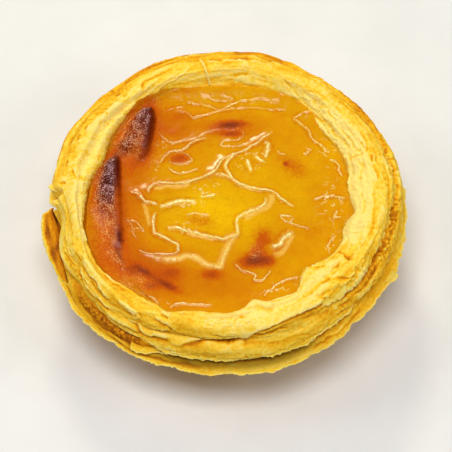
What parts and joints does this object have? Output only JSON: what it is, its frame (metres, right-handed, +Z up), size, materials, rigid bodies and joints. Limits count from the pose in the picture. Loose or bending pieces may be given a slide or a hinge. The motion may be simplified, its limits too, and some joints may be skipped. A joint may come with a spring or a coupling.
{
  "type": "custard tart",
  "caption": "Round baked custard tart: a rolled, layered puff pastry case filled with glossy, scorched custard; stands on its flat base.",
  "frame": {"origin": "middle of the flat base that the tart rests on", "axes": "+Z up through the custard, +X to the right and -Y towards the side seen from the front"},
  "size_m": [0.0789, 0.0755, 0.027],
  "materials": {
    "baked_pastry": "satin",
    "baked_custard": "gloss"
  },
  "bodies": {
    "root": {"pastry_case": "baked_pastry", "custard_filling": "baked_custard"}
  },
  "joints": []
}
